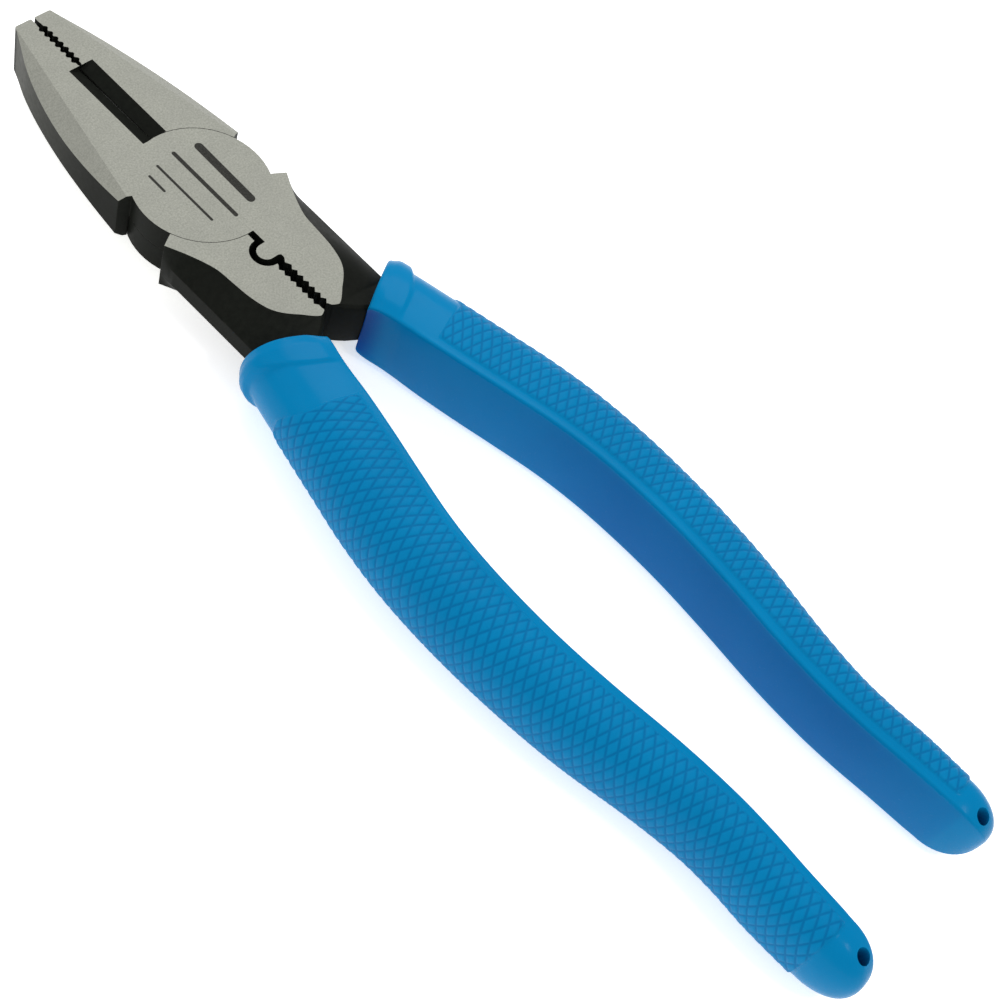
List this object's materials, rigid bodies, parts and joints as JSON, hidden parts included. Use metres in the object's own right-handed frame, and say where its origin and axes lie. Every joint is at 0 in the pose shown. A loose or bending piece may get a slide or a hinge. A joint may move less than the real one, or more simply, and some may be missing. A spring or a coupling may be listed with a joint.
{
  "type": "lineman pliers",
  "caption": "Lineman pliers with square serrated nose, side cutter, crimping nest, pipe grip and textured moulded handle sleeves, opening on one flush rivet.",
  "frame": {"origin": "where the pivot axis meets the rear ground face of the head", "axes": "+Z along the pivot axis, out of the face with the shallow cutter groove; +Y towards the nose; +X towards the rear half's jaw"},
  "size_m": [0.058, 0.2235, 0.0181],
  "materials": {
    "front_forging": "forged tool steel, head faces blasted matt grey, the rest black oxide",
    "rear_forging": "forged tool steel, head faces blasted matt grey, the rest black oxide",
    "rivet_steel": "steel rivet ground flush and blasted with the head",
    "right_sleeve": "blue moulded elastomer, diamond texture, semi-gloss",
    "left_sleeve": "blue moulded elastomer, diamond texture, semi-gloss"
  },
  "bodies": {
    "front_side": {"front_half": "front_forging", "pivot_rivet": "rivet_steel", "right_grip": "right_sleeve"},
    "rear_side": {"rear_half": "rear_forging", "left_grip": "left_sleeve"}
  },
  "joints": [
    {"name": "pivot", "type": "hinge", "parent": "front_side", "child": "rear_side", "pos_m": [0, 0, 0], "axis": [0, 0, -1], "range_deg": [-0.7, 44]}
  ]
}
